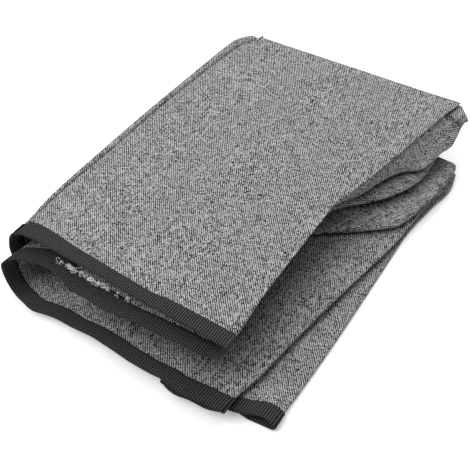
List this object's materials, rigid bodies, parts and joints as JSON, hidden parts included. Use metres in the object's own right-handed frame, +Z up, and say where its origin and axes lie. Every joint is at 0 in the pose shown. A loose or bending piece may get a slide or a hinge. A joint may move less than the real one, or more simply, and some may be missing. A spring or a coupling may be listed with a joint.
{
  "type": "pressure cooker cover",
  "caption": "Grey woven cloth cover for a pressure cooker, folded flat in a back-and-forth stack, with a black bound hem and loose pleats at one side.",
  "frame": {"origin": "middle of the folded cover's footprint, on the surface it lies on", "axes": "+Z up from the surface; +Y from the hem end to the closed end; +X across the layers, towards the side where the loose pleats stick out"},
  "size_m": [0.315, 0.4338, 0.0653],
  "materials": {
    "wall_cloth": "matte heathered linen-look weave",
    "panel_cloth": "matte heathered linen-look weave",
    "binding_tape": "matte ribbed tape"
  },
  "bodies": {
    "root": {"side_wall": "wall_cloth", "top_panel": "panel_cloth", "hem_binding": "binding_tape"}
  },
  "joints": []
}
